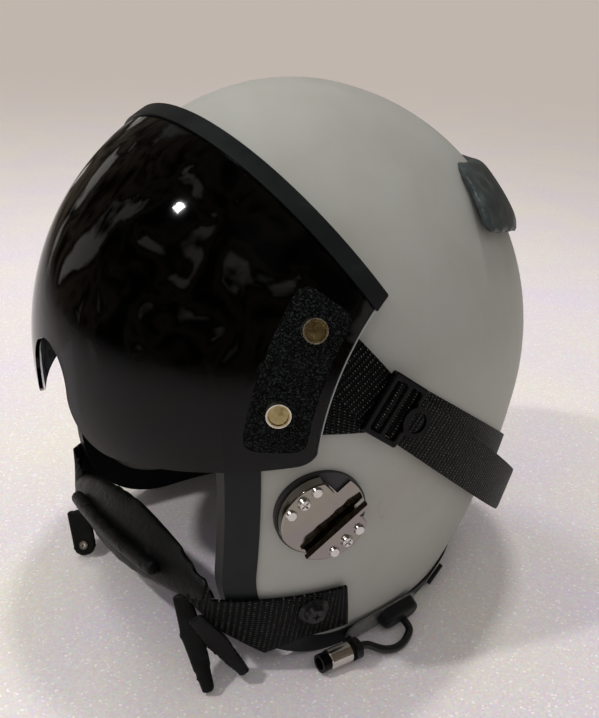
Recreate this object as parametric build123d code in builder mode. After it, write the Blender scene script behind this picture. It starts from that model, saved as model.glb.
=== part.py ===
from build123d import *

import os
from math import atan2, cos, degrees, pi, radians, sin, sqrt, tan

# Pilot flight helmet in millimetres, standing on its rubber edge roll.
# +Z is up, the face looks towards -Y and the wearer's left side is +X.
# Side views are drawn in a plane whose first axis runs rearward from the head's
# centre and whose second axis is the height above the ground.

os.makedirs("parts", exist_ok=True)

# Head form: the shell's outer surface is an egg of four ellipsoid quarters
shell_half = 118.6
front_reach = 131.0
rear_reach = 155.0
crown_rise = 146.9
lower_depth = 235.8
head_pitch = 11.5
head_height = 135.0
middle_y = -9.4
beyond = 320.0
fit = 0.3

# Shell and face opening
shell_wall = 3.0
cheek_front = 88.0
cheek_corner_r = 65.0
temple_height = 190.0
temple_r = 34.0
brow_slope = 0.19

# Edge roll
roll_wall = 1.4
roll_fit = 0.05
roll_flange = 12.5
roll_base_flange = 10.0

# Liners and inner pads
liner_thick = 18.0
liner_margin = 13.0
liner_ear_top = 182.0
liner_ear_rear = 56.0
liner_nape_top = 66.0
liner_corner_r = 12.0
pad_thick = 9.0
front_pad_height = 34.0
front_pad_back = 62.0
crown_pad_half_width = 46.0
crown_pad_half_length = 62.0
crown_pad_back = 12.0
rear_pad_width = 132.0
rear_pad_tall = 64.0
rear_pad_height = 178.0
pad_corner_r = 12.0
nape_pad_thick = 13.0
nape_pad_width = 128.0
nape_pad_tall = 40.0
nape_height = 38.0
web_width = 25.4
web_thick = 1.7
nape_strap_width = 196.0

# Ear cups
ear_back = 2.0
ear_height = 118.0
cup_half_length = 35.0
cup_half_tall = 47.0
cup_inner_x = 85.0
cup_outer_x = 124.0
cup_wall = 2.6
cup_depth = 21.0
seal_thick = 14.0
seal_wall = 15.0
seal_round = 5.5
earphone_r = 21.0
earphone_grille_r = 16.0
earphone_grille_deep = 1.2
earphone_round = 1.5

# Mask receivers
receiver_y = -49.0
receiver_height = 98.5
receiver_turn = 42.0
receiver_r = 21.3
backing_rim = 1.0
backing_rise = 2.0
plate_thick = 1.2
channel_half = 10.5
lip_half = 8.8
slot_height = 2.6
lip_thick = 1.3
plate_round = 0.8
wing_cut = 8.5
tongue_high = 3.5
row_offset = 16.2
rivet_along = 7.9
rivet_head_r = 2.7
rivet_head_rise = 1.4
rivet_r = 1.6
screw_head_r = 3.1
screw_head_rise = 1.9
screw_r = 1.9
cross_half = 2.1
cross_wide = 0.8
cross_deep = 1.1
nut_r = 5.0
nut_thick = 2.2

head_taper = 22.0
washer_taper = 40.0

# Chin strap fixing
chin_y = -46.6
chin_height = 40.2
chin_web_width = 30.0
chin_screw_share = 0.667
chin_web_gap = 2.4
chin_web_rear = -24.0
chin_web_rake = 7.0
chin_web_hang_back = -48.0
chin_web_drop_back = -67.0
chin_web_drop = 12.0
chin_web_front = -93.0
chin_web_front_low = 34.0
chin_web_corner_r = 2.0
chin_web_drop_r = 10.0
cup_washer_r = 8.0
cup_washer_rise = 1.8
chin_screw_head_r = 5.6
chin_screw_head_rise = 2.6
chin_screw_r = 2.4

# Chin pad: a padded leather crescent between the two webs
chin_pad_half = 82.9
chin_pad_front = 100.0
chin_pad_bow = 8.0
chin_pad_height = 43.0
chin_pad_tilt = 10.0
chin_pad_sag = 3.0
chin_pad_tall = 36.0
chin_pad_end_tall = 11.0
chin_pad_thick = 9.0
chin_pad_end_thick = 4.0
chin_pad_lean = 24.0
chin_pad_spans = 6
chin_roll_r = 4.6
chin_roll_down = 2.0
chin_roll_ends_share = (-0.65, 0.6)
chin_roll_round = 1.6

# Loose tabs that hang from the chin pad
tab_thick = 2.4
tab_facing = 50.0
eyelet_tab_root = (-54.5, -104.5, 21.2)
eyelet_tab_tip = (-43.0, -106.0, 1.6)
eyelet_tab_wide = 15.0
eyelet_r = 2.6
eyelet_hole_r = 1.3
eyelet_thick = 0.5
eyelet_inset = 6.5
front_tab_root = (69.2, -99.6, 38.3)
front_tab_tip = (95.2, -99.6, 2.2)
rear_tab_root = (84.0, -97.5, 35.0)
rear_tab_tip = (98.0, -80.0, 7.0)
leaf_tab_wide = 11.0
leaf_root_share = 0.667
leaf_belly_share = 0.333

# Visor: a bowl turned about the ear axis
pivot_back = 2.9
pivot_height = 147.0
bowl_side_gap = 9.8
bowl_front_gap = 8.9
lens_thick = 2.2
lens_edge_r = 92.0
lens_edge_back = 36.5
lens_edge_height = 132.0
lens_base_height = 128.2
lens_base_slope = 0.155
lens_corner_r = 10.0
lens_top_back = -23.5
lens_top_height = 202.6
lens_top_slope = 1.6
lens_end_back = -22.5
notch_r = 20.5
notch_height = 143.5
flare_r = 26.0
trim_wall = 1.3
trim_width = 8.8
trim_fit = 0.05
patch_gap = 6.2
patch_width = 24.5
patch_low_angle = 2.0
patch_high_angle = 40.0
patch_thick = 1.7
patch_corner_r = 6.0
patch_lift = 0.05
snap_r = 6.4
snap_rise = 1.9
snap_rim = 1.3
snap_dish = 0.7
snap_stud_r = 4.6
snap_shank_r = 1.8
snap_places = ((-56.3, 190.5), (-72.6, 154.6))

# Visor straps
vee_gap = 2.3
vee_root_back = -23.0
vee_root_height = 150.8
vee_overhang = 11.0
lock_back = -18.0
lock_height = 148.8
lock_turn = -36.0
lock_length = 22.0
lock_width = 31.0
lock_thick = 3.2
lock_bar = 3.0
lock_lift = 4.6
lock_round = 0.8
thumb_long = 12.0
thumb_r = 7.5
thumb_wall = 2.2
thumb_thick = 1.8
band_gap = 0.8
band_start = 3.0
band_turn = -33.7
band_rise = 2.3
tail_gap = 4.2
tail_clear = 0.9
tail_turn = -39.4
tail_long = 144.0
tail_stand = 9.0
tail_spans = 5

# Rear bumper pad
bumper_gap = 0.4
bumper_thick = 6.0
bumper_front = 62.0
bumper_top_height = 246.5
bumper_tall = 34.0
bumper_corner_r = 9.0

# Communication lead on the left side
mount_plate_back = 3.0
mount_plate_height = 10.5
mount_plate_long = 50.0
mount_plate_tall = 14.0
mount_plate_thick = 1.0
mount_plate_lift = 1.8
mount_plate_corner_r = 5.0
boot_back = 13.5
boot_long = 26.0
boot_tall = 13.0
boot_rise = 6.5
boot_taper = 7.0
boot_round = 2.6
connector_x = 111.8
connector_back = -18.5
connector_height = 6.6
connector_turn = 1.5
cord_r = 2.1
cord_exit_back = 15.0
cord_exit_drop = 2.5
cord_out = 5.5
cord_in = 3.5
arc_share = 0.45
cord_points = (
    (115.2, 12.2, 3.0), (118.6, 5.6, 2.6), (119.4, -1.0, 2.6), (117.6, -6.8, 3.2),
    (113.8, -11.2, 4.6),
)
neck_r = 4.2
neck_long = 7.5
barrel_r = 5.3
barrel_long = 13.5
insert_r = 4.8
insert_long = 5.0
insert_bore_r = 3.2
insert_bore_deep = 8.0
insert_wall = 1.0
connector_chamfer = 0.6
clip_wall = 1.3
clip_long = 4.0
clip_arm = 5.0
rim_clip_back = 56.0
rim_clip_height = 8.0
rim_clip_long = 13.0
rim_clip_tall = 9.0
rim_clip_thick = 2.4
rim_clip_round = 0.8

hands = (("left", 1), ("right", -1))
side = Plane(origin=(0, middle_y, 0), x_dir=(0, 1, 0), z_dir=(1, 0, 0))
face = Plane(origin=(0, middle_y, 0), x_dir=(1, 0, 0), z_dir=(0, -1, 0))
pitch = radians(head_pitch)
head = Plane(origin=(0, middle_y, head_height), x_dir=(1, 0, 0), z_dir=(0, sin(pitch), cos(pitch)))
pivot = Vector(0, middle_y + pivot_back, pivot_height)
bowl_half = shell_half + bowl_side_gap
bowl_r = front_reach + bowl_front_gap


# Forms shared by several pieces


def ball(half_x, half_y, half_z):
    """Upper rear quarter of an ellipsoid about the origin."""
    quarter = Sphere(1, arc_size1=0, arc_size3=180, align=None, mode=Mode.PRIVATE)
    return scale(quarter, by=(half_x, half_y, half_z), mode=Mode.PRIVATE)


def egg(grow):
    """Solid of the shell's outer form, its surface moved out by grow."""
    domes = []
    for reach, behind in ((rear_reach, True), (front_reach, False)):
        for rise, above in ((crown_rise, True), (lower_depth, False)):
            quarter = ball(shell_half + grow, reach + grow, rise + grow)
            if not behind:
                quarter = mirror(quarter, about=Plane.XZ, mode=Mode.PRIVATE)
            if not above:
                quarter = mirror(quarter, about=Plane.XY, mode=Mode.PRIVATE)
            domes.append(quarter.faces().sort_by(SortBy.AREA)[-1])
    return head.location * Solid(Shell(domes))


def bowl(grow):
    """Solid about the ear axis whose surface is the lens's outer one, moved out by grow."""
    unit = Sphere(1, align=None, mode=Mode.PRIVATE)
    form = scale(unit, by=(bowl_half + grow, bowl_r + grow, bowl_r + grow), mode=Mode.PRIVATE)
    return Plane(origin=pivot).location * form


def shell_outline(face_in, base_in):
    """Side view of the shell behind the face opening, its edges moved in."""
    brow = temple_height + face_in
    cheek = -cheek_front + face_in
    with BuildSketch(mode=Mode.PRIVATE) as outline:
        with BuildLine():
            FilletPolyline(
                (beyond, roll_wall + base_in),
                (cheek, roll_wall + base_in),
                (cheek, brow),
                (-beyond, brow + brow_slope * (beyond - cheek_front)),
                (-beyond, beyond),
                (beyond, beyond),
                radius=(0, cheek_corner_r - (face_in + base_in) / 2, temple_r + face_in, 0, 0, 0),
                close=True,
            )
        make_face()
    return outline.sketch


def surface_plane(centre_frame, half, reaches, rises, back, height, lift, sign, turn):
    """Plane lying on an ellipsoid's side, its first axis turned up from the rear."""
    out = centre_frame.to_local_coords(Vector(0, middle_y + back, height))
    reach = reaches[0] if out.Y < 0 else reaches[1]
    rise = rises[0] if out.Z > 0 else rises[1]
    x = half * sqrt(1 - (out.Y / reach) ** 2 - (out.Z / rise) ** 2)
    normal = (
        centre_frame.x_dir * (x / half**2)
        + centre_frame.y_dir * (out.Y / reach**2)
        + centre_frame.z_dir * (out.Z / rise**2)
    ).normalized()
    along = Vector(0, cos(radians(turn)), sin(radians(turn)))
    along = along - normal * along.dot(normal)
    point = Vector(x, middle_y + back, height) + normal * lift
    return Plane(
        origin=(sign * point.X, point.Y, point.Z),
        x_dir=(sign * along.X, along.Y, along.Z),
        z_dir=(sign * normal.X, normal.Y, normal.Z),
    )


def on_shell(back, height, lift, sign, turn=0.0):
    """Plane on the shell's side at a distance behind the ear and a height."""
    return surface_plane(
        head, shell_half, (front_reach, rear_reach), (crown_rise, lower_depth),
        back, height, lift, sign, turn,
    )


def on_lens(back, height, lift, sign):
    """Plane on the lens's side at a distance behind the ear and a height."""
    return surface_plane(
        Plane(origin=pivot), bowl_half, (bowl_r, bowl_r), (bowl_r, bowl_r),
        back, height, lift, sign, 0.0,
    )


def foot_axis(plane):
    """Axis standing on a plane's origin."""
    return Axis(plane.origin, plane.z_dir)


def save(piece, name):
    """Label a finished piece and write its STEP file."""
    piece.label = name
    export_step(piece, f"parts/{name}.step")


# Places of the fasteners

receiver_stack = backing_rise + plate_thick + slot_height + lip_thick
screw_rows = [(0, row_offset), (0, -row_offset)]
rivet_rows = [(x, y) for x in (-rivet_along, rivet_along) for y in (-row_offset, row_offset)]


# Shell: one composite moulding, open at the face and the neck

with BuildPart() as shell:
    add(egg(0))
    add(egg(-shell_wall), mode=Mode.SUBTRACT)
    with BuildSketch(side):
        add(shell_outline(0, 0))
    extrude(amount=beyond, both=True, mode=Mode.INTERSECT)
    for hand, sign in hands:
        with BuildSketch(on_shell(receiver_y, receiver_height, 0, sign, receiver_turn)):
            with Locations(*screw_rows):
                Circle(screw_r + fit)
        extrude(amount=2 * receiver_r, both=True, mode=Mode.SUBTRACT)
        with BuildSketch(on_shell(chin_y, chin_height, 0, sign)):
            Circle(chin_screw_r + fit)
        extrude(amount=2 * receiver_r, both=True, mode=Mode.SUBTRACT)
save(shell.part, "shell")

# Edge roll: a rubber channel pressed over the whole rim

with BuildPart() as roll_slot:
    add(egg(roll_fit))
    add(egg(-shell_wall - roll_fit), mode=Mode.SUBTRACT)
    with BuildSketch(side):
        add(shell_outline(-roll_fit, -roll_fit))
    extrude(amount=beyond, both=True, mode=Mode.INTERSECT)

with BuildPart() as edge_roll:
    add(egg(roll_wall))
    add(egg(-shell_wall - roll_wall), mode=Mode.SUBTRACT)
    with BuildSketch(side):
        add(shell_outline(-roll_wall, -roll_wall))
        add(shell_outline(roll_flange, roll_base_flange), mode=Mode.SUBTRACT)
    extrude(amount=beyond, both=True, mode=Mode.INTERSECT)
    add(roll_slot.part, mode=Mode.SUBTRACT)
save(edge_roll.part, "edge_roll")

# Energy liner: thick foam inside the crown, cut away over the ears and the nape

liner_high = -shell_wall - fit
liner_low = liner_high - liner_thick
brow_edge = temple_height + liner_margin
with BuildPart() as energy_liner:
    add(egg(liner_high))
    add(egg(liner_low), mode=Mode.SUBTRACT)
    with BuildSketch(side):
        with BuildLine():
            FilletPolyline(
                (-beyond, brow_edge + brow_slope * (beyond - cheek_front)),
                (-cheek_front + liner_margin, brow_edge),
                (-cheek_front + liner_margin, liner_ear_top),
                (liner_ear_rear, liner_ear_top),
                (liner_ear_rear, liner_nape_top),
                (beyond, liner_nape_top),
                (beyond, beyond),
                (-beyond, beyond),
                radius=(0, 0, liner_corner_r, liner_corner_r, liner_corner_r, 0, 0, 0),
                close=True,
            )
        make_face()
    extrude(amount=beyond, both=True, mode=Mode.INTERSECT)
save(energy_liner.part, "energy_liner")

# Comfort pads against the inside of the liner

pad_high = liner_low - fit
pad_low = pad_high - pad_thick
with BuildPart() as front_pad:
    add(egg(pad_high))
    add(egg(pad_low), mode=Mode.SUBTRACT)
    with BuildSketch(side):
        with BuildLine():
            Polyline(
                (-front_pad_back, brow_edge + fit),
                (-beyond, brow_edge + brow_slope * (beyond - front_pad_back)),
                (-beyond, brow_edge + front_pad_height + brow_slope * (beyond - front_pad_back)),
                (-front_pad_back, brow_edge + front_pad_height),
                close=True,
            )
        make_face()
    extrude(amount=beyond, both=True, mode=Mode.INTERSECT)
save(front_pad.part, "front_pad")

with BuildPart() as crown_pad:
    add(egg(pad_high))
    add(egg(pad_low), mode=Mode.SUBTRACT)
    with BuildSketch(Plane(origin=(0, middle_y + crown_pad_back, head_height))):
        Ellipse(crown_pad_half_width, crown_pad_half_length)
    extrude(amount=beyond, mode=Mode.INTERSECT)
save(crown_pad.part, "crown_pad")

with BuildPart() as rear_pad:
    add(egg(pad_high))
    add(egg(pad_low), mode=Mode.SUBTRACT)
    with BuildSketch(face):
        with Locations((0, rear_pad_height)):
            RectangleRounded(rear_pad_width, rear_pad_tall, pad_corner_r)
    extrude(amount=-beyond, mode=Mode.INTERSECT)
save(rear_pad.part, "rear_pad")

# Nape pad on its strap, low at the back of the neck opening

strap_high = -shell_wall - fit
strap_low = strap_high - web_thick
with BuildPart() as nape_strap:
    add(egg(strap_high))
    add(egg(strap_low), mode=Mode.SUBTRACT)
    with BuildSketch(face):
        with Locations((0, nape_height)):
            RectangleRounded(nape_strap_width, web_width, roll_wall)
    extrude(amount=-beyond, mode=Mode.INTERSECT)
save(nape_strap.part, "nape_strap")

with BuildPart() as nape_pad:
    add(egg(strap_low - fit))
    add(egg(strap_low - fit - nape_pad_thick), mode=Mode.SUBTRACT)
    with BuildSketch(face):
        with Locations((0, nape_height)):
            RectangleRounded(nape_pad_width, nape_pad_tall, pad_corner_r)
    extrude(amount=-beyond, mode=Mode.INTERSECT)
save(nape_pad.part, "nape_pad")

# Ear cups with their seals and earphones

for hand, sign in hands:
    with BuildPart() as ear_cup:
        with BuildSketch(side.offset(sign * cup_inner_x)):
            with Locations((ear_back, ear_height)):
                Ellipse(cup_half_length, cup_half_tall)
        extrude(amount=sign * (cup_outer_x - cup_inner_x))
        add(egg(-shell_wall - fit), mode=Mode.INTERSECT)
        with BuildSketch(side.offset(sign * cup_inner_x)):
            with Locations((ear_back, ear_height)):
                Ellipse(cup_half_length - cup_wall, cup_half_tall - cup_wall)
        extrude(amount=sign * cup_depth, mode=Mode.SUBTRACT)
    save(ear_cup.part, f"ear_cup_{hand}")

    with BuildPart() as ear_seal:
        with BuildSketch(side.offset(sign * (cup_inner_x - fit))):
            with Locations((ear_back, ear_height)):
                Ellipse(cup_half_length, cup_half_tall)
                Ellipse(cup_half_length - seal_wall, cup_half_tall - seal_wall, mode=Mode.SUBTRACT)
        extrude(amount=-sign * seal_thick)
        fillet(ear_seal.edges(), seal_round)
    save(ear_seal.part, f"ear_seal_{hand}")

    with BuildPart() as earphone:
        with BuildSketch(side.offset(sign * (cup_inner_x + cup_depth - fit))):
            with Locations((ear_back, ear_height)):
                Circle(earphone_r)
        extrude(amount=-sign * (cup_depth - cup_wall))
        front_face = earphone.faces().sort_by(Axis.X)[0 if sign > 0 else -1]
        fillet(front_face.edges(), earphone_round)
        with BuildSketch(side.offset(sign * (cup_inner_x + cup_wall - fit))):
            with Locations((ear_back, ear_height)):
                Circle(earphone_grille_r)
        extrude(amount=sign * earphone_grille_deep, mode=Mode.SUBTRACT)
    save(earphone.part, f"earphone_{hand}")

# Mask receivers: a shaped backing and a chromed plate whose lips form a channel

tongue_middle = (tongue_high - channel_half) / 2
for hand, sign in hands:
    foot = on_shell(receiver_y, receiver_height, backing_rise, sign, receiver_turn)
    with BuildPart() as receiver_backing:
        with BuildSketch(foot):
            Circle(receiver_r + backing_rim)
            with Locations(*screw_rows):
                Circle(screw_r + fit, mode=Mode.SUBTRACT)
            with Locations(*rivet_rows):
                Circle(rivet_r + fit, mode=Mode.SUBTRACT)
        extrude(amount=-receiver_r)
        add(egg(fit), mode=Mode.SUBTRACT)
    save(receiver_backing.part, f"receiver_backing_{hand}")

    with BuildPart() as receiver_plate:
        with BuildSketch(foot):
            Circle(receiver_r)
        extrude(amount=receiver_stack)
        top_face = receiver_plate.faces().filter_by(GeomType.PLANE).sort_by(foot_axis(foot))[-1]
        fillet(top_face.edges(), plate_round)
        with BuildSketch(foot.offset(plate_thick)):
            Rectangle(2 * beyond, 2 * channel_half)
        extrude(amount=slot_height, mode=Mode.SUBTRACT)
        with BuildSketch(foot.offset(plate_thick)):
            Rectangle(2 * beyond, 2 * lip_half)
        extrude(amount=receiver_stack, mode=Mode.SUBTRACT)
        with BuildSketch(foot):
            with Locations((receiver_r, sign * tongue_middle)):
                Rectangle(2 * wing_cut, 2 * receiver_r)
                Rectangle(2 * wing_cut, channel_half + tongue_high, mode=Mode.SUBTRACT)
            with Locations(*screw_rows):
                Circle(screw_r + fit)
            with Locations(*rivet_rows):
                Circle(rivet_r + fit)
        extrude(amount=receiver_stack, mode=Mode.SUBTRACT)
    save(receiver_plate.part, f"receiver_plate_{hand}")

# Receiver fasteners: rivets and cross-head screws with nuts inside the shell

for_rivets = []
for_screws = []
for hand, sign in hands:
    top = on_shell(receiver_y, receiver_height, backing_rise + receiver_stack, sign, receiver_turn)
    for_rivets += [Plane(top.from_local_coords(spot), top.x_dir, top.z_dir) for spot in rivet_rows]
    for_screws += [Plane(top.from_local_coords(spot), top.x_dir, top.z_dir) for spot in screw_rows]

with BuildPart() as receiver_rivets:
    with BuildSketch(*for_rivets):
        Circle(rivet_head_r)
    extrude(amount=rivet_head_rise, taper=head_taper)
    with BuildSketch(*for_rivets):
        Circle(rivet_r)
    extrude(amount=-receiver_stack)
save(receiver_rivets.part, "receiver_rivets")

screw_length = receiver_stack + backing_rise + shell_wall + 2 * nut_thick
with BuildPart() as receiver_screws:
    with BuildSketch(*for_screws):
        Circle(screw_head_r)
    extrude(amount=screw_head_rise, taper=head_taper)
    with BuildSketch(*[spot.offset(screw_head_rise - cross_deep) for spot in for_screws]):
        Rectangle(2 * cross_half, cross_wide)
        Rectangle(cross_wide, 2 * cross_half)
    extrude(amount=2 * cross_deep, mode=Mode.SUBTRACT)
    with BuildSketch(*for_screws):
        Circle(screw_r)
    extrude(amount=-screw_length)
save(receiver_screws.part, "receiver_screws")

nut_drop = receiver_stack + backing_rise + shell_wall + nut_thick
with BuildPart() as receiver_nuts:
    with BuildSketch(*[spot.offset(-nut_drop) for spot in for_screws]):
        Circle(nut_r)
        Circle(screw_r + roll_fit, mode=Mode.SUBTRACT)
    extrude(amount=-nut_thick)
save(receiver_nuts.part, "receiver_nuts")

# Chin strap fixings: a cup washer and a cross-head screw on each side, nut inside

washer_lift = chin_web_gap + web_thick + fit
for_washers = [on_shell(chin_y, chin_height, washer_lift, sign) for hand, sign in hands]
for_heads = [spot.offset(cup_washer_rise) for spot in for_washers]
chin_nut_drop = washer_lift + shell_wall + fit

with BuildPart() as chin_washers:
    with BuildSketch(*for_washers):
        Circle(cup_washer_r)
    extrude(amount=cup_washer_rise, taper=washer_taper)
    with BuildSketch(*for_washers):
        Circle(chin_screw_r + fit)
    extrude(amount=cup_washer_rise, mode=Mode.SUBTRACT)
save(chin_washers.part, "chin_washers")

with BuildPart() as chin_screws:
    with BuildSketch(*for_heads):
        Circle(chin_screw_head_r)
    extrude(amount=chin_screw_head_rise, taper=head_taper)
    with BuildSketch(*[spot.offset(chin_screw_head_rise - cross_deep) for spot in for_heads]):
        Rectangle(2 * cross_half, cross_wide)
        Rectangle(cross_wide, 2 * cross_half)
    extrude(amount=2 * cross_deep, mode=Mode.SUBTRACT)
    with BuildSketch(*for_heads):
        Circle(chin_screw_r)
    extrude(amount=-(cup_washer_rise + chin_nut_drop + nut_thick))
save(chin_screws.part, "chin_screws")

with BuildPart() as chin_nuts:
    with BuildSketch(*[spot.offset(-chin_nut_drop) for spot in for_washers]):
        Circle(nut_r)
        Circle(chin_screw_r + roll_fit, mode=Mode.SUBTRACT)
    extrude(amount=-nut_thick)
save(chin_nuts.part, "chin_nuts")

# Rear bumper pad: a padded band across the upper back of the shell

with BuildPart() as rear_bumper_pad:
    add(egg(bumper_thick))
    add(egg(bumper_gap), mode=Mode.SUBTRACT)
    with BuildSketch(side) as bumper_side:
        with Locations(Location((bumper_front, bumper_top_height), -head_pitch)):
            Rectangle(beyond, bumper_tall, align=(Align.MIN, Align.MAX))
        fillet(bumper_side.vertices().sort_by(Axis.X)[:2], bumper_corner_r)
    extrude(amount=beyond, both=True, mode=Mode.INTERSECT)
save(rear_bumper_pad.part, "rear_bumper_pad")

# Visor lens: a smoked bowl with a nose notch, a slanted top and a curved rear edge

lens_foot = lens_edge_back - lens_edge_r
flare_x = notch_r + flare_r
flare_height = notch_height - flare_r
lens_end_top = lens_top_height - lens_top_slope * (lens_end_back - lens_top_back)


def below_top(raised):
    """Side view of all that lies under the lens's slanted top edge, moved up by raised."""
    lift = raised * sqrt(1 + lens_top_slope**2)
    with BuildSketch(mode=Mode.PRIVATE) as under:
        with BuildLine():
            Polyline(
                (lens_end_back, 0),
                (lens_end_back, lens_end_top + lift),
                (-beyond, lens_end_top + lift + lens_top_slope * (beyond + lens_end_back)),
                (-beyond, 0),
                close=True,
            )
        make_face()
    return under.sketch


with BuildPart() as visor_lens:
    add(bowl(0))
    add(bowl(-lens_thick), mode=Mode.SUBTRACT)
    with BuildSketch(side) as lens_side:
        add(below_top(0))
        with BuildLine():
            Polyline(
                (lens_edge_back, lens_base_height + lens_base_slope * lens_edge_r),
                (-beyond, lens_base_height - lens_base_slope * (beyond + lens_foot)),
                (-beyond, -beyond),
                (lens_edge_back, -beyond),
                close=True,
            )
        make_face(mode=Mode.SUBTRACT)
        with Locations((lens_edge_back, lens_edge_height)):
            Circle(lens_edge_r, mode=Mode.SUBTRACT)
        foot_corner = lens_side.vertices().sort_by_distance((lens_foot, lens_base_height))[0]
        fillet(foot_corner, lens_corner_r)
    extrude(amount=beyond, both=True, mode=Mode.INTERSECT)
    with BuildSketch(face):
        with BuildLine():
            Polyline(
                (-flare_x, flare_height),
                (-flare_x, 0),
                (flare_x, 0),
                (flare_x, flare_height),
            )
            TangentArc((flare_x, flare_height), (notch_r, notch_height), tangent=(-1, 0))
            TangentArc((notch_r, notch_height), (-notch_r, notch_height), tangent=(0, 1))
            TangentArc((-notch_r, notch_height), (-flare_x, flare_height), tangent=(0, -1))
        make_face()
    extrude(amount=beyond, mode=Mode.SUBTRACT)
    for hand, sign in hands:
        for back, height in snap_places:
            with BuildSketch(on_lens(back, height, 0, sign)):
                Circle(snap_shank_r + fit)
            extrude(amount=2 * snap_r, both=True, mode=Mode.SUBTRACT)
save(visor_lens.part, "visor_lens")

# Visor trim: a rubber channel pressed over the lens's top edge

with BuildPart() as trim_slot:
    add(bowl(trim_fit))
    add(bowl(-lens_thick - trim_fit), mode=Mode.SUBTRACT)
    with BuildSketch(side):
        add(below_top(trim_fit))
    extrude(amount=beyond, both=True, mode=Mode.INTERSECT)

with BuildPart() as visor_trim:
    add(bowl(trim_wall))
    add(bowl(-lens_thick - trim_wall), mode=Mode.SUBTRACT)
    with BuildSketch(side):
        add(below_top(trim_wall))
        add(below_top(trim_wall - trim_width), mode=Mode.SUBTRACT)
        with Locations((lens_edge_back, lens_edge_height)):
            Circle(lens_edge_r, mode=Mode.SUBTRACT)
    extrude(amount=beyond, both=True, mode=Mode.INTERSECT)
    add(trim_slot.part, mode=Mode.SUBTRACT)
save(visor_trim.part, "visor_trim")

# Hook-and-loop patches on the lens, each held by the snaps of one side

patch_inner_r = lens_edge_r + patch_gap
patch_outer_r = patch_inner_r + patch_width
patch_start = 180 - patch_high_angle
patch_sweep = patch_high_angle - patch_low_angle
for hand, sign in hands:
    with BuildPart() as visor_patch:
        add(bowl(patch_lift + patch_thick))
        add(bowl(patch_lift), mode=Mode.SUBTRACT)
        with BuildSketch(side) as patch_side:
            with BuildLine():
                middle = (lens_edge_back, lens_edge_height)
                inner_arc = CenterArc(middle, patch_inner_r, patch_start, patch_sweep)
                outer_arc = CenterArc(middle, patch_outer_r, patch_start, patch_sweep)
                Line(inner_arc @ 0, outer_arc @ 0)
                Line(inner_arc @ 1, outer_arc @ 1)
            make_face()
            fillet(patch_side.vertices(), patch_corner_r)
        extrude(amount=sign * beyond, mode=Mode.INTERSECT)
        for back, height in snap_places:
            with BuildSketch(on_lens(back, height, 0, sign)):
                Circle(snap_shank_r + fit)
            extrude(amount=2 * snap_r, mode=Mode.SUBTRACT)
    save(visor_patch.part, f"visor_patch_{hand}")

# Snaps: a dished cap outside with its shank through the lens, a stud inside

snap_lift = patch_lift + patch_thick + trim_fit
for_caps = [on_lens(back, height, snap_lift, sign) for hand, sign in hands for back, height in snap_places]
for_studs = [spot.offset(-snap_lift - lens_thick - fit) for spot in for_caps]
with BuildPart() as snap_caps:
    with BuildSketch(*for_caps):
        Circle(snap_r)
    extrude(amount=snap_rise, taper=head_taper)
    with BuildSketch(*[spot.offset(snap_rise) for spot in for_caps]):
        Circle(snap_r - snap_rim - snap_dish)
    extrude(amount=-snap_dish, taper=head_taper, mode=Mode.SUBTRACT)
    with BuildSketch(*for_caps):
        Circle(snap_shank_r)
    extrude(amount=-(snap_lift + lens_thick + fit))
save(snap_caps.part, "snap_caps")

with BuildPart() as snap_studs:
    with BuildSketch(*for_studs):
        Circle(snap_stud_r)
    extrude(amount=-4 * snap_stud_r)
    add(egg(vee_gap + web_thick + fit), mode=Mode.SUBTRACT)
save(snap_studs.part, "snap_studs")

# Ladder locks: frames with three bars and a thumb loop that stands over the tail

lock_slot = (lock_length - 3 * lock_bar) / 2
for hand, sign in hands:
    lock_plane = on_shell(lock_back, lock_height, lock_lift, sign, lock_turn)
    with BuildPart() as ladder_lock:
        with BuildSketch(lock_plane):
            RectangleRounded(lock_length, lock_width, lock_bar / 2)
            with GridLocations(lock_slot + lock_bar, 0, 2, 1):
                RectangleRounded(lock_slot, lock_width - 2 * lock_bar, lock_bar / 3, mode=Mode.SUBTRACT)
        extrude(amount=lock_thick)
        fillet(ladder_lock.faces().sort_by(foot_axis(lock_plane))[-1].edges(), lock_round)
        with BuildSketch(lock_plane.offset(lock_thick)):
            with Locations((lock_length / 2 - lock_bar + thumb_long - thumb_r, 0)):
                Circle(thumb_r)
            with Locations(((lock_length + thumb_long) / 2 - lock_bar - thumb_r / 2, 0)):
                Rectangle(thumb_long - thumb_r, 2 * thumb_r)
            with Locations((lock_length / 2 - lock_bar + thumb_long - thumb_r, 0)):
                Circle(thumb_r - thumb_wall, mode=Mode.SUBTRACT)
        extrude(amount=thumb_thick)
    save(ladder_lock.part, f"ladder_lock_{hand}")

# V straps: webbing from the two snaps of each side down to the ladder lock

for hand, sign in hands:
    with BuildPart() as vee_strap:
        add(egg(vee_gap + web_thick))
        add(egg(vee_gap), mode=Mode.SUBTRACT)
        with BuildSketch(side):
            for back, height in snap_places:
                arm = Vector(back - vee_root_back, height - vee_root_height)
                turn = degrees(atan2(arm.Y, arm.X))
                with Locations(Location((vee_root_back, vee_root_height), turn)):
                    Rectangle(arm.length + vee_overhang, web_width, align=(Align.MIN, Align.CENTER))
        extrude(amount=sign * beyond, mode=Mode.INTERSECT)
    save(vee_strap.part, f"vee_strap_{hand}")

# Rear visor strap: one band round the back of the shell from lock to lock

with BuildPart() as rear_visor_strap:
    add(egg(band_gap + web_thick))
    add(egg(band_gap), mode=Mode.SUBTRACT)
    with BuildSketch(side):
        with Locations(Location((lock_back, lock_height), band_turn)):
            with Locations((band_start, band_rise)):
                Rectangle(beyond, web_width, align=(Align.MIN, Align.CENTER))
    extrude(amount=beyond, both=True, mode=Mode.INTERSECT)
save(rear_visor_strap.part, "rear_visor_strap")

# Strap tails: the loose ends that leave the locks and stand off towards their ends

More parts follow.
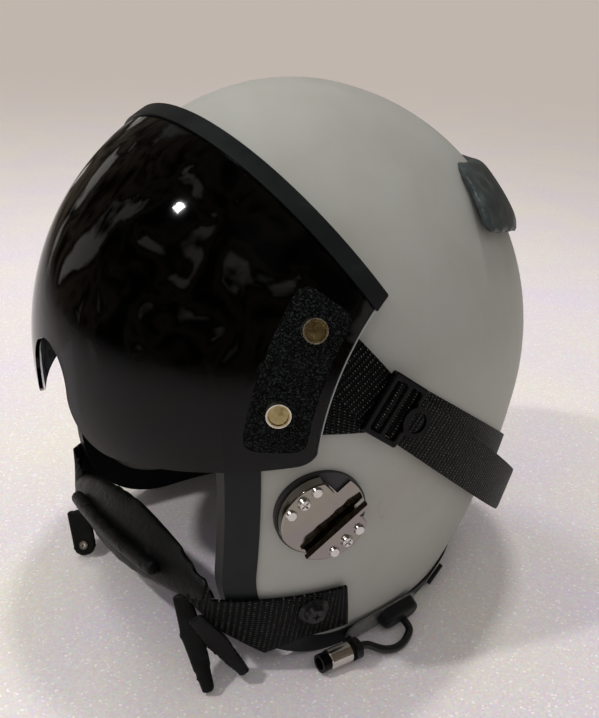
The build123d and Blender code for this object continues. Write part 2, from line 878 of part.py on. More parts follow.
tail_start = lock_length / 2 + tail_clear
for hand, sign in hands:
    with BuildPart() as strap_tail:
        for step in range(tail_spans + 1):
            share = step / tail_spans
            run = tail_start + (tail_long - tail_start) * share
            back = lock_back + run * cos(radians(tail_turn))
            height = lock_height + run * sin(radians(tail_turn))
            lift = tail_gap + web_thick / 2 + tail_stand * share**2
            foot = on_shell(back, height, lift, sign, tail_turn)
            with BuildSketch(Plane(foot.origin, x_dir=foot.z_dir, z_dir=foot.x_dir)):
                Rectangle(web_thick, web_width)
        loft()
    save(strap_tail.part, f"strap_tail_{hand}")

# Chin strap webs: from the shell's screws forward round the cheeks, drooping low

chin_web_low = chin_height - chin_web_width * chin_screw_share
chin_web_top = chin_web_low + chin_web_width
for hand, sign in hands:
    with BuildPart() as chin_web:
        add(egg(chin_web_gap + web_thick))
        add(egg(chin_web_gap), mode=Mode.SUBTRACT)
        with BuildSketch(side):
            with BuildLine():
                FilletPolyline(
                    (chin_web_rear - chin_web_rake, chin_web_top),
                    (chin_web_rear, chin_web_low),
                    (chin_web_hang_back, chin_web_low),
                    (chin_web_drop_back, chin_web_drop),
                    (chin_web_front, chin_web_front_low),
                    (chin_web_front, chin_web_top),
                    radius=(
                        chin_web_corner_r, chin_web_corner_r, chin_web_drop_r,
                        chin_web_drop_r, chin_web_corner_r, chin_web_corner_r,
                    ),
                    close=True,
                )
            make_face()
        extrude(amount=sign * beyond, mode=Mode.INTERSECT)
        with BuildSketch(on_shell(chin_y, chin_height, 0, sign)):
            Circle(chin_screw_r + fit)
        extrude(amount=2 * cup_washer_r, mode=Mode.SUBTRACT)
    save(chin_web.part, f"chin_web_{hand}")

# Chin pad: a leather crescent that hangs between the webs, and its padded roll


def chin_spot(share, forward, down):
    """Plane across the chin pad at a share of its half length, shifted in the section."""
    centre = Vector(
        chin_pad_half * share,
        middle_y - chin_pad_front + chin_pad_bow * share**2,
        chin_pad_height + chin_pad_tilt * share - chin_pad_sag * share**2,
    )
    along = Vector(
        chin_pad_half, 2 * chin_pad_bow * share, chin_pad_tilt - 2 * chin_pad_sag * share
    ).normalized()
    lean = Vector(0, sin(radians(chin_pad_lean)), cos(radians(chin_pad_lean)))
    across = lean.cross(along).normalized()
    rise = along.cross(across)
    return Plane(centre + across * forward - rise * down, x_dir=across, z_dir=along)


def chin_thick(share):
    """Thickness of the chin pad at a share of its half length."""
    return chin_pad_end_thick + (chin_pad_thick - chin_pad_end_thick) * (1 - share**2)


with BuildPart() as chin_pad:
    for step in range(chin_pad_spans + 1):
        share = 2 * step / chin_pad_spans - 1
        tall = chin_pad_end_tall + (chin_pad_tall - chin_pad_end_tall) * (1 - share**2)
        with BuildSketch(chin_spot(share, 0, 0)):
            Ellipse(chin_thick(share) / 2, tall / 2)
    loft()
save(chin_pad.part, "chin_pad")

roll_shares = (
    chin_roll_ends_share[0],
    sum(chin_roll_ends_share) / 2,
    chin_roll_ends_share[1],
)
with BuildPart() as chin_pad_roll:
    with BuildLine() as roll_line:
        ThreePointArc(*[
            chin_spot(share, -chin_thick(share) / 2 - chin_roll_r - fit, chin_roll_down).origin
            for share in roll_shares
        ])
    with BuildSketch(Plane(roll_line.line @ 0, z_dir=roll_line.line % 0)):
        Circle(chin_roll_r)
    sweep(path=roll_line.line)
    fillet(chin_pad_roll.edges().filter_by(GeomType.CIRCLE).filter_by(lambda e: e.is_closed), chin_roll_round)
save(chin_pad_roll.part, "chin_pad_roll")

# Loose tabs under the chin pad: one with an eyelet, two pointed leaves by the left web


def tab_plane(root, tip):
    """Plane along a tab from root to tip, its face turned towards the wearer's left front."""
    start = Vector(root[0], middle_y + root[1], root[2])
    along = (Vector(tip[0], middle_y + tip[1], tip[2]) - start).normalized()
    facing = Vector(sin(radians(tab_facing)), -cos(radians(tab_facing)), 0)
    return Plane(start, x_dir=along, z_dir=facing - along * along.dot(facing))


def tab_length(root, tip):
    """Distance from a tab's root to its tip."""
    return (Vector(*tip) - Vector(*root)).length


eyelet_plane = tab_plane(eyelet_tab_root, eyelet_tab_tip)
eyelet_along = tab_length(eyelet_tab_root, eyelet_tab_tip) - eyelet_inset
with BuildPart() as chin_eyelet_tab:
    with BuildSketch(eyelet_plane):
        with BuildLine():
            half = eyelet_tab_wide / 2
            far = eyelet_along + eyelet_inset
            FilletPolyline(
                (0, -half), (far, -half), (far, half), (0, half),
                radius=(fit, eyelet_inset, eyelet_inset, fit), close=True,
            )
        make_face()
        with Locations((eyelet_along, 0)):
            Circle(eyelet_hole_r + 2 * fit, mode=Mode.SUBTRACT)
    extrude(amount=tab_thick / 2, both=True)
save(chin_eyelet_tab.part, "chin_eyelet_tab")

with BuildPart() as chin_eyelet:
    for way in (1, -1):
        with BuildSketch(eyelet_plane.offset(way * tab_thick / 2)):
            with Locations((eyelet_along, 0)):
                Circle(eyelet_r)
        extrude(amount=way * eyelet_thick)
    with BuildSketch(eyelet_plane):
        with Locations((eyelet_along, 0)):
            Circle(eyelet_hole_r + fit)
    extrude(amount=tab_thick / 2, both=True)
    with BuildSketch(eyelet_plane):
        with Locations((eyelet_along, 0)):
            Circle(eyelet_hole_r)
    extrude(amount=tab_thick, both=True, mode=Mode.SUBTRACT)
save(chin_eyelet.part, "chin_eyelet")

leaves = (
    ("chin_tab_front", front_tab_root, front_tab_tip),
    ("chin_tab_rear", rear_tab_root, rear_tab_tip),
)
for name, root, tip in leaves:
    with BuildPart() as chin_tab:
        with BuildSketch(tab_plane(root, tip)):
            with BuildLine():
                half = leaf_tab_wide / 2
                far = tab_length(root, tip)
                FilletPolyline(
                    (0, -half * leaf_root_share), (far * leaf_belly_share, -half), (far, -half / 2),
                    (far, half / 2), (far * leaf_belly_share, half), (0, half * leaf_root_share),
                    radius=(fit, leaf_tab_wide, half / 2 - fit, half / 2 - fit, leaf_tab_wide, fit),
                    close=True,
                )
            make_face()
        extrude(amount=tab_thick / 2, both=True)
    save(chin_tab.part, name)

# Communication lead: a plate on the rim, a rubber boot, a short cord and its connector

plate_plane = on_shell(mount_plate_back, mount_plate_height, mount_plate_lift, 1)
boot_plane = plate_plane.offset(mount_plate_thick)
boot_shift = boot_back - mount_plate_back
with BuildPart() as comm_plate:
    with BuildSketch(plate_plane):
        RectangleRounded(mount_plate_long, mount_plate_tall, mount_plate_corner_r)
    extrude(amount=mount_plate_thick)
save(comm_plate.part, "comm_plate")

with BuildPart() as comm_boot:
    with BuildSketch(boot_plane):
        with Locations((boot_shift, 0)):
            SlotOverall(boot_long, boot_tall)
    extrude(amount=boot_rise, taper=boot_taper)
    fillet(comm_boot.faces().sort_by(foot_axis(boot_plane))[-1].edges(), boot_round)
save(comm_boot.part, "comm_boot")

neck_end = Vector(connector_x, middle_y + connector_back, connector_height)
forward = Vector(-sin(radians(connector_turn)), -cos(radians(connector_turn)), 0)
neck_plane = Plane(neck_end, x_dir=(0, 0, 1), z_dir=forward)
barrel_plane = neck_plane.offset(neck_long)
insert_plane = barrel_plane.offset(barrel_long)
with BuildPart() as connector_neck:
    with BuildSketch(neck_plane):
        Circle(neck_r)
    extrude(amount=neck_long)
    chamfer(connector_neck.edges().group_by(foot_axis(neck_plane))[0], 2 * connector_chamfer)
save(connector_neck.part, "connector_neck")

with BuildPart() as connector_barrel:
    with BuildSketch(barrel_plane):
        Circle(barrel_r)
    extrude(amount=barrel_long)
    chamfer(connector_barrel.edges(), connector_chamfer)
    with BuildSketch(insert_plane):
        Circle(insert_r - insert_wall + fit)
    extrude(amount=-(insert_bore_deep - insert_long + insert_wall), mode=Mode.SUBTRACT)
save(connector_barrel.part, "connector_barrel")

with BuildPart() as connector_insert:
    with BuildSketch(insert_plane):
        Circle(insert_r)
    extrude(amount=insert_long)
    with BuildSketch(insert_plane):
        Circle(insert_r - insert_wall)
    extrude(amount=-(insert_bore_deep - insert_long + insert_wall - fit))
    with BuildSketch(insert_plane.offset(insert_long)):
        Circle(insert_bore_r)
    extrude(amount=-insert_bore_deep, mode=Mode.SUBTRACT)
save(connector_insert.part, "connector_insert")

with BuildPart() as connector_clip:
    with BuildSketch(neck_plane.offset((neck_long - clip_long) / 2)):
        Circle(neck_r + roll_fit + clip_wall)
        with Locations((0, neck_r)):
            Rectangle(clip_arm, 4 * neck_r, align=(Align.CENTER, Align.MIN))
        Circle(neck_r + roll_fit, mode=Mode.SUBTRACT)
    extrude(amount=clip_long)
    with BuildSketch(boot_plane.offset(fit)):
        Rectangle(2 * beyond, 2 * beyond)
    extrude(amount=-beyond, mode=Mode.SUBTRACT)
save(connector_clip.part, "connector_clip")

cord_exit = boot_plane.offset(boot_rise).from_local_coords(
    (cord_exit_back - mount_plate_back, -cord_exit_drop)
)
cord_route = [cord_exit, cord_exit + boot_plane.z_dir * cord_out]
cord_route += [Vector(x, middle_y + back, height) for x, back, height in cord_points]
cord_route += [neck_end - forward * cord_in, neck_end]
cord_radii = []
for before, corner, after in zip(cord_route, cord_route[1:], cord_route[2:]):
    into = corner - before
    out = after - corner
    half_turn = radians(into.get_angle(out) / 2)
    cord_radii.append(arc_share * min(into.length, out.length) / tan(half_turn))
print("smallest cord radius", round(min(cord_radii), 1))
with BuildPart() as comm_cord:
    with BuildLine() as cord_line:
        FilletPolyline(*cord_route, radius=cord_radii)
    with BuildSketch(Plane(cord_exit, z_dir=boot_plane.z_dir)):
        Circle(cord_r)
    sweep(path=cord_line.line)
cord_length = sum(edge.length for edge in cord_line.edges())
print("cord length", round(cord_length, 1))
print("volume over section times length", round(comm_cord.part.volume / (pi * cord_r**2 * cord_length), 4))
save(comm_cord.part, "comm_cord")

rim_plane = on_shell(rim_clip_back, rim_clip_height, mount_plate_lift, 1)
with BuildPart() as rim_clip:
    with BuildSketch(rim_plane):
        RectangleRounded(rim_clip_long, rim_clip_tall, rim_clip_thick)
    extrude(amount=rim_clip_thick)
    fillet(rim_clip.faces().sort_by(foot_axis(rim_plane))[-1].edges(), rim_clip_round)
save(rim_clip.part, "rim_clip")
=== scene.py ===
from math import atan2, copysign, cos, hypot, pi, radians, sin, sqrt

import bmesh
import bpy
from mathutils import Matrix, Vector


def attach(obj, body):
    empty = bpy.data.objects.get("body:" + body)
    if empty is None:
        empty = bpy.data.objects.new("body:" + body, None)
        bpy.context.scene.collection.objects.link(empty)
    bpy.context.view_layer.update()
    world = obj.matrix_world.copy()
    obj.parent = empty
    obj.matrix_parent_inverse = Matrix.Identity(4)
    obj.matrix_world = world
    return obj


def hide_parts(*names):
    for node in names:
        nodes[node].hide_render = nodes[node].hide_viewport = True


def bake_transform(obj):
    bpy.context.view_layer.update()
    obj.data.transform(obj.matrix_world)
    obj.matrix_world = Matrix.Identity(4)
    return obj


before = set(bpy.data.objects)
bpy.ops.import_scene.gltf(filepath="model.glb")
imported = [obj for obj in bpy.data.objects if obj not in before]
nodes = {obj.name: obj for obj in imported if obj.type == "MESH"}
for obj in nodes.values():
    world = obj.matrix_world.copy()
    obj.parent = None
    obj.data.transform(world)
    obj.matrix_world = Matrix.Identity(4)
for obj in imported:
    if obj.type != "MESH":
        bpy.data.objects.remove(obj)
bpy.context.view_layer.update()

scene = bpy.context.scene
hands = (("left", 1), ("right", -1))

# Studio: a pale sheet of glittering craft board that the helmet stands on and that
# fades into a warm grey room, with a small ceiling lamp above and three more. The
# camera stands where the photograph was taken, above and ahead of the left cheek.

board_half = 9.0
board_near, board_fade = 0.49, (0.14, 1.0)
sparkle_grain = 0.0011
lamp_target = Vector((0, 0, 0.13))
camera_spot = (0.3998, -0.2826, 0.3326)
camera_right = Vector((0.55443, 0.83176, 0.02824))
camera_up = Vector((-0.32899, 0.18787, 0.92546))
camera_back = Vector((0.76445, -0.52240, 0.37780))


def linear(code):
    """An sRGB hex colour as linear light with full alpha."""
    shares = [int(code[place:place + 2], 16) / 255 for place in (0, 2, 4)]
    return (*[c / 12.92 if c <= 0.04045 else ((c + 0.055) / 1.055) ** 2.4 for c in shares], 1.0)


def put(tree, kind, values={}, links={}, **settings):
    """Adds a shader node with its settings, the values of its sockets and what feeds them."""
    made = tree.nodes.new(kind)
    for name, value in settings.items():
        setattr(made, name, value)
    for socket, value in values.items():
        made.inputs[socket].default_value = value
    for socket, source in links.items():
        tree.links.new(source, made.inputs[socket])
    return made


def finish(name, **values):
    """A new material with the values of its Principled shader; gives it, its tree and shader."""
    material = bpy.data.materials.new(name)
    material.use_nodes = True
    shader = material.node_tree.nodes["Principled BSDF"]
    for socket, value in values.items():
        shader.inputs[socket.replace("_", " ")].default_value = value
    return material, material.node_tree, shader


def object_place(tree):
    """The object's own coordinates in metres, in which its patterns are laid out."""
    return put(tree, "ShaderNodeTexCoord").outputs["Object"]


def noise(tree, place, scale, detail, **more):
    """A cloudy pattern of about scale waves to the metre."""
    values = {"Scale": scale, "Detail": detail, **more}
    return put(tree, "ShaderNodeTexNoise", values, {"Vector": place}).outputs["Fac"]


def reckon(tree, operation, *terms):
    """The value of a Math node whose terms are numbers or what feeds them."""
    made = put(tree, "ShaderNodeMath", operation=operation)
    for place, term in enumerate(terms):
        if isinstance(term, float):
            made.inputs[place].default_value = term
        else:
            tree.links.new(term, made.inputs[place])
    return made.outputs["Value"]


def ramp(tree, factor, *stops):
    """A colour ramp fed by a factor, its stops as (place, hex colour)."""
    made = put(tree, "ShaderNodeValToRGB", links={"Fac": factor})
    stretch = made.color_ramp.elements
    while len(stretch) < len(stops):
        stretch.new(0.5)
    for element, (place, code) in zip(stretch, stops):
        element.position = place
        element.color = linear(code)
    return made.outputs["Color"]


def blended(tree, blend_type, under, over, factor):
    """One colour laid over another by a fixed factor."""
    return put(
        tree, "ShaderNodeMix", {"Factor": factor}, {6: under, 7: over},
        data_type="RGBA", blend_type=blend_type,
    ).outputs[2]


board_paint, tree, shader = finish("glittering craft board", Roughness=0.6)
place = object_place(tree)
flecks = put(tree, "ShaderNodeTexVoronoi", {"Scale": 1 / sparkle_grain}, {"Vector": place}).outputs["Color"]
dull = noise(tree, place, scale=260.0, detail=3.0, Roughness=0.7)
tint = noise(tree, place, scale=7.0, detail=2.0)
base = ramp(tree, tint, (0.35, "e2dcd4"), (0.5, "e0d9d7"), (0.65, "ded6dc"))
grey = ramp(tree, dull, (0.3, "6e6e6e"), (0.7, "929292"))
speckled = blended(tree, "SOFT_LIGHT", base, grey, factor=0.45)
tinted = blended(tree, "OVERLAY", speckled, flecks, factor=0.16)
# Painted highlight: the rarest flecks are lifted towards white in the base colour as glints of the glitter.
rare = put(tree, "ShaderNodeSeparateColor", links={"Color": flecks}).outputs["Red"]
painted_glitter_glint = put(
    tree, "ShaderNodeMapRange", {"From Min": 0.93, "To Max": 0.55}, {"Value": rare},
).outputs["Result"]
board = put(
    tree, "ShaderNodeMix", {7: linear("ffffff")}, {"Factor": painted_glitter_glint, 6: tinted}, data_type="RGBA",
).outputs[2]
tree.links.new(board, shader.inputs["Base Color"])
away = put(tree, "ShaderNodeVectorMath", links={0: place}, operation="LENGTH").outputs["Value"]
sink = reckon(tree, "DIVIDE", 1.0, reckon(tree, "ADD", away, board_near))
solid = put(
    tree, "ShaderNodeMapRange", {"From Min": board_fade[0], "From Max": board_fade[1]}, {"Value": sink},
    interpolation_type="SMOOTHSTEP",
).outputs["Result"]
tree.links.new(solid, shader.inputs["Alpha"])

form = bmesh.new()
bmesh.ops.create_grid(form, x_segments=1, y_segments=1, size=board_half)
mesh = bpy.data.meshes.new("floor board")
form.to_mesh(mesh)
form.free()
mesh.materials.append(board_paint)
floor = bpy.data.objects.new("floor_board", mesh)
scene.collection.objects.link(floor)

scene.world = bpy.data.worlds.new("grey room")
scene.world.use_nodes = True
tree = scene.world.node_tree
lit = tree.nodes["Background"]
lit.inputs["Color"].default_value = linear("f4f3f4")
lit.inputs["Strength"].default_value = 0.62
seen = put(tree, "ShaderNodeBackground", {"Color": linear("c1b6ad"), "Strength": 1.0})
shapes = noise(tree, object_place(tree), scale=2.4, detail=3.0, Distortion=1.2)
furnished = ramp(tree, shapes, (0.42, "1c1611"), (0.52, "5e5348"), (0.6, "17130f"), (0.66, "c9c4bd"))
mirrored = put(tree, "ShaderNodeBackground", {"Strength": 1.4}, {"Color": furnished})
rays = put(tree, "ShaderNodeLightPath")
matt = put(tree, "ShaderNodeMixShader", links={
    0: rays.outputs["Is Glossy Ray"], 1: lit.outputs["Background"], 2: mirrored.outputs["Background"],
})
room = put(tree, "ShaderNodeMixShader", links={
    0: rays.outputs["Is Camera Ray"], 1: matt.outputs["Shader"], 2: seen.outputs["Background"],
})
tree.links.new(room.outputs["Shader"], tree.nodes["World Output"].inputs["Surface"])

for lamp_name, where, watts, across, mirrors in (
    ("ceiling lamp", (-0.34, 0.3, 2.24), 15.0, 0.2, False),
    ("front lamp", (-0.3, -1.5, 2.0), 19.0, 0.12, True),
    ("far lamp", (-1.7, -0.1, 1.9), 14.0, 0.6, False),
    ("side lamp", (1.3, -1.1, 2.0), 4.0, 0.9, False),
):
    lamp_data = bpy.data.lights.new(lamp_name, "AREA")
    lamp_data.energy = watts
    lamp_data.size = across
    lamp = bpy.data.objects.new(lamp_name, lamp_data)
    lamp.location = where
    lamp.rotation_euler = (lamp_target - lamp.location).to_track_quat("-Z", "Y").to_euler()
    lamp.visible_glossy = mirrors
    scene.collection.objects.link(lamp)

camera_data = bpy.data.cameras.new("photo camera")
camera_data.lens = 45.7
camera_data.sensor_width = 36.0
camera_data.shift_x = 0.0298
camera_data.shift_y = -0.0240
camera_data.clip_start = 0.01
camera = bpy.data.objects.new("photo camera", camera_data)
camera_turn = Matrix((camera_right, camera_up, camera_back)).transposed().to_4x4()
camera.matrix_world = Matrix.Translation(camera_spot) @ camera_turn
scene.collection.objects.link(camera)
scene.camera = camera
scene.view_settings.view_transform = "Standard"

# Communication cord: a short length of glossy black jacketed cable that comes out of
# the boot on the left rim, bends forward on the ground and runs into the plug's neck.

cord_width = 0.0042
cord_route = (
    (0.10636, 0.00641, 0.00554), (0.11155, 0.00693, 0.00380), (0.1152, 0.0028, 0.0030),
    (0.1186, -0.0038, 0.0026), (0.1194, -0.0104, 0.0026), (0.1176, -0.0162, 0.0032),
    (0.1138, -0.0206, 0.0046), (0.11189, -0.0244, 0.0066), (0.1118, -0.0279, 0.0066),
)


def gloss(tree, shader, factor, low, high):
    """Feeds a shader's roughness from a pattern stretched between low and high."""
    rough = put(tree, "ShaderNodeMapRange", {"To Min": low, "To Max": high}, {"Value": factor})
    tree.links.new(rough.outputs["Result"], shader.inputs["Roughness"])


def bump(tree, shader, height, depth):
    """Feeds a shader's normal from a height pattern whose full swing is depth metres."""
    relief = put(tree, "ShaderNodeBump", {"Strength": 1.0, "Distance": depth}, {"Height": height})
    tree.links.new(relief.outputs["Normal"], shader.inputs["Normal"])


jacket, tree, shader = finish(
    "glossy black PVC jacket", Base_Color=linear("131313"), Roughness=0.28, IOR=1.53,
)
scuff = noise(tree, object_place(tree), scale=900.0, detail=3.0)
gloss(tree, shader, scuff, low=0.2, high=0.42)
bump(tree, shader, scuff, depth=0.00008)

curve = bpy.data.curves.new("comm cord", "CURVE")
curve.dimensions = "3D"
curve.bevel_depth = cord_width / 2
curve.bevel_resolution = 6
curve.resolution_u = 16
curve.use_fill_caps = True
line = curve.splines.new("NURBS")
line.points.add(len(cord_route) - 1)
for point, spot in zip(line.points, cord_route):
    point.co = (*spot, 1.0)
line.order_u = 3
line.use_endpoint_u = True
curve.materials.append(jacket)
cord = bpy.data.objects.new("comm_cable", curve)
scene.collection.objects.link(cord)
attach(cord, "helmet")
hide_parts("comm_cord")

# Shell: a composite moulding in matt light grey paint, a little uneven after years of
# handling, with faint rub marks.

head_middle = Vector((0, -0.0094, 0.135))
head_pitch = radians(11.5)
head_turn = Matrix.Rotation(-head_pitch, 3, "X").inverted()
shell_half, shell_front, shell_rear = 0.1186, 0.131, 0.155
shell_crown, shell_low = 0.1469, 0.2358


def wear(material, *names):
    """Gives CAD nodes their material."""
    for name in names:
        for slot in nodes[name].material_slots:
            slot.material = material


paint, tree, shader = finish("matt grey epoxy paint", Roughness=0.5, IOR=1.5)
place = object_place(tree)
cloud = noise(tree, place, scale=14.0, detail=5.0, Roughness=0.6)
peel = noise(tree, place, scale=420.0, detail=2.0)
rubbed = noise(tree, place, scale=60.0, detail=6.0, Roughness=0.75, Distortion=0.6)
tone = ramp(tree, cloud, (0.3, "959389"), (0.5, "9b9a92"), (0.7, "9f9e98"))
mark = ramp(tree, rubbed, (0.25, "8f8d88"), (0.36, "ffffff"))
tree.links.new(blended(tree, "MULTIPLY", tone, mark, factor=0.25), shader.inputs["Base Color"])
gloss(tree, shader, cloud, low=0.42, high=0.6)
bump(tree, shader, peel, depth=0.00006)
wear(paint, "shell")

# Edge roll and visor trim: extruded black rubber channels pressed over the rims,
# dull with a soft sheen and a slightly dusty skin.

rubber, tree, shader = finish("extruded rubber", Roughness=0.45, IOR=1.3)
place = object_place(tree)
dust = noise(tree, place, scale=45.0, detail=6.0, Roughness=0.65)
skin = noise(tree, place, scale=1400.0, detail=2.0)
tone = ramp(tree, dust, (0.3, "0e1112"), (0.6, "161919"), (0.8, "242726"))
tree.links.new(tone, shader.inputs["Base Color"])
gloss(tree, shader, dust, low=0.36, high=0.58)
bump(tree, shader, skin, depth=0.00005)
wear(rubber, "edge_roll", "visor_trim")

# Energy liner: rigid bead foam, dyed black, whose fused beads show on its face.

bead_size = 0.0035
bead_foam, tree, shader = finish("expanded bead foam", Roughness=0.85, IOR=1.45)
beads = put(
    tree, "ShaderNodeTexVoronoi", {"Scale": 1 / bead_size}, {"Vector": object_place(tree)},
    feature="DISTANCE_TO_EDGE",
).outputs["Distance"]
tree.links.new(ramp(tree, beads, (0.0, "0d0d0d"), (0.12, "1f1f20")), shader.inputs["Base Color"])
bump(tree, shader, beads, depth=0.0006)
wear(bead_foam, "energy_liner")

# Inner pads: knitted black cover over soft foam. Each is the space that its CAD solid
# fills under the liner, blown up a little by cloth simulation.

knit_pitch = 0.0016
weld_reach = 1e-6
puff_steps, puff_pressure = 20, 4.0

knit, tree, shader = finish("knitted spacer fabric", Roughness=0.95, IOR=1.35)
loops = put(
    tree, "ShaderNodeTexVoronoi", {"Scale": 1 / knit_pitch, "Randomness": 0.35},
    {"Vector": object_place(tree)}, feature="F1",
).outputs["Distance"]
tree.links.new(ramp(tree, loops, (0.0, "202022"), (0.6, "0b0b0c")), shader.inputs["Base Color"])
bump(tree, shader, loops, depth=-0.0005)


def soften(piece):
    """Shades a piece's faces smoothly."""
    for polygon in piece.data.polygons:
        polygon.use_smooth = True


def show(form, name, body, material, slot, *stands_for):
    """Makes a bmesh a finished piece: its material, the body it rides and what it replaces."""
    mesh = bpy.data.meshes.new(name)
    form.to_mesh(mesh)
    form.free()
    mesh.materials.append(material)
    piece = bpy.data.objects.new(name, mesh)
    soften(piece)
    scene.collection.objects.link(piece)
    if body:
        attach(piece, body)
    if stands_for:
        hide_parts(*stands_for)
    return piece


def bake(piece):
    """Applies a piece's modifiers to its mesh."""
    solid = bpy.data.meshes.new_from_object(piece.evaluated_get(bpy.context.evaluated_depsgraph_get()))
    piece.modifiers.clear()
    old = piece.data
    piece.data = solid
    solid.name = old.name
    bpy.data.meshes.remove(old)


def puffed(source, name, body, material, slot, grain, most, shrink=0.0012, ease=4):
    """A padded piece: the CAD solid's space remeshed, drawn in, blown up as cloth and eased."""
    form = bmesh.new()
    form.from_mesh(nodes[source].data)
    bmesh.ops.remove_doubles(form, verts=form.verts, dist=weld_reach)
    piece = show(form, name, None, material, slot)
    remesh = piece.modifiers.new("even grain", "REMESH")
    remesh.mode = "VOXEL"
    remesh.voxel_size = grain
    bake(piece)
    form = bmesh.new()
    form.from_mesh(piece.data)
    for vert in form.verts:
        vert.co -= vert.normal * shrink
    form.to_mesh(piece.data)
    form.free()
    start = [vert.co.copy() for vert in piece.data.vertices]
    cloth = piece.modifiers.new("fill", "CLOTH")
    cloth.settings.use_pressure = True
    cloth.settings.uniform_pressure_force = puff_pressure
    cloth.settings.effector_weights.gravity = 0.0
    for step in range(1, puff_steps + 1):
        scene.frame_set(step)
    bake(piece)
    scene.frame_set(1)
    for vert, before in zip(piece.data.vertices, start):
        move = vert.co - before
        if move.length > most:
            vert.co = before + move.normalized() * most
    smooth = piece.modifiers.new("ease", "SMOOTH")
    smooth.factor = 0.5
    smooth.iterations = ease
    finer = piece.modifiers.new("soften", "SUBSURF")
    finer.levels = 1
    finer.render_levels = 1
    bake(piece)
    soften(piece)
    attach(piece, body)
    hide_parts(source)
    return piece


for pad in ("front_pad", "crown_pad", "rear_pad", "nape_pad"):
    puffed(pad, pad + "_cover", "helmet", knit, "pad_fabric", grain=0.004, most=0.004)

# Ear cups and earphones: moulded black plastic with a fine spark-eroded grain, of
# which the receivers' backings are made too.

moulded, tree, shader = finish("moulded black ABS", Base_Color=linear("1b1b1c"), Roughness=0.5, IOR=1.53)
grain = noise(tree, object_place(tree), scale=1600.0, detail=2.0)
gloss(tree, shader, grain, low=0.42, high=0.62)
bump(tree, shader, grain, depth=0.00008)
wear(
    moulded, "ear_cup_left", "ear_cup_right", "earphone_left", "earphone_right",
    "receiver_backing_left", "receiver_backing_right",
)

# Ear seals: oval rings of soft black leather over foam.

pore_pitch, pore_share = 0.0012, 0.25

hide, tree, shader = finish("soft black leather", Roughness=0.42, IOR=1.25)
place = object_place(tree)
pores = put(
    tree, "ShaderNodeTexVoronoi", {"Scale": 1 / pore_pitch}, {"Vector": place}, feature="DISTANCE_TO_EDGE",
).outputs["Distance"]
creases = noise(tree, place, scale=95.0, detail=5.0, Roughness=0.6, Distortion=0.8)
worn = ramp(tree, creases, (0.35, "060606"), (0.6, "0a0a0a"), (0.8, "201e1c"))
tree.links.new(worn, shader.inputs["Base Color"])
gloss(tree, shader, creases, low=0.3, high=0.55)
relief = reckon(tree, "ADD", reckon(tree, "MULTIPLY", pores, pore_share), creases)
bump(tree, shader, relief, depth=0.0009)

for hand in ("left", "right"):
    puffed(f"ear_seal_{hand}", f"ear_cushion_{hand}", "helmet", hide, "seal_leather", grain=0.004, most=0.003)

# Rear bumper pad: a padded band of rubbed and creased grey-black leather over foam.

bumper_hide, tree, shader = finish("rubbed grey leather", Roughness=0.38, IOR=1.4)
creases = noise(tree, object_place(tree), scale=110.0, detail=5.0, Roughness=0.6, Distortion=0.3)
worn = ramp(tree, creases, (0.3, "2c3232"), (0.5, "363c3c"), (0.75, "4a5150"))
tree.links.new(worn, shader.inputs["Base Color"])
bump(tree, shader, creases, depth=0.0006)
puffed(
    "rear_bumper_pad", "rear_bumper", "helmet", bumper_hide, "bumper_leather", grain=0.0026, most=0.002,
    shrink=0.0005,
)

# Mask receivers: steel plates polished and chromed, each with a channel for the mask's
# bayonet, on the black backings above. Rivets and screws are bright steel.

chrome, tree, shader = finish("mirror chrome", Base_Color=linear("918c85"), Metallic=1.0, Roughness=0.08)
place = object_place(tree)
haze = noise(tree, place, scale=160.0, detail=5.0)
gloss(tree, shader, haze, low=0.03, high=0.16)
wave = noise(tree, place, scale=60.0, detail=1.0)
bump(tree, shader, wave, depth=0.0016)
wear(chrome, "receiver_plate_left", "receiver_plate_right")

steel, tree, shader = finish("bright screw steel", Base_Color=linear("cfccc8"), Metallic=1.0, Roughness=0.28)
scratch = noise(tree, object_place(tree), scale=900.0, detail=4.0)
gloss(tree, shader, scratch, low=0.16, high=0.42)
bump(tree, shader, scratch, depth=0.00006)
wear(steel, "receiver_rivets", "receiver_screws", "receiver_nuts", "chin_nuts")

# Chin strap washers and screws, and the two small clips: steel, blackened.

blackened, tree, shader = finish(
    "black oxide steel", Base_Color=linear("1a1a1b"), Metallic=0.6, Roughness=0.35,
)
rubs = noise(tree, object_place(tree), scale=500.0, detail=4.0)
tree.links.new(ramp(tree, rubs, (0.4, "131314"), (0.75, "2d2d2e")), shader.inputs["Base Color"])
bump(tree, shader, rubs, depth=0.00005)
wear(blackened, "chin_washers", "chin_screws", "rim_clip", "connector_clip")

# Visor lens: polished polycarbonate, smoked nearly black, with a painted highlight as a
# thin pale, less see-through band along its rear cut edge.

visor_pivot = Vector((0, -0.0065, 0.147))
lens_half, lens_r, lens_edge = 0.1284, 0.1399, 0.092
edge_from, edge_to = 0.0003, 0.0009
ring_back, ring_height = 0.0365, 0.132
patch_ring = (head_middle.y + ring_back, ring_height)

smoked, tree, shader = finish(
    "smoked polycarbonate", Base_Color=linear("1c1e20"), Roughness=0.04, IOR=1.27, Transmission_Weight=1.0,
)
place = object_place(tree)
wipes = noise(tree, place, scale=30.0, detail=7.0, Roughness=0.7)
gloss(tree, shader, wipes, low=0.02, high=0.09)
ring = put(
    tree, "ShaderNodeVectorMath", {1: (0, *patch_ring)}, {0: place}, operation="SUBTRACT",
).outputs["Vector"]
ring = put(tree, "ShaderNodeVectorMath", {1: (0, 1, 1)}, {0: ring}, operation="MULTIPLY").outputs["Vector"]
ring = put(tree, "ShaderNodeVectorMath", links={0: ring}, operation="LENGTH").outputs["Value"]
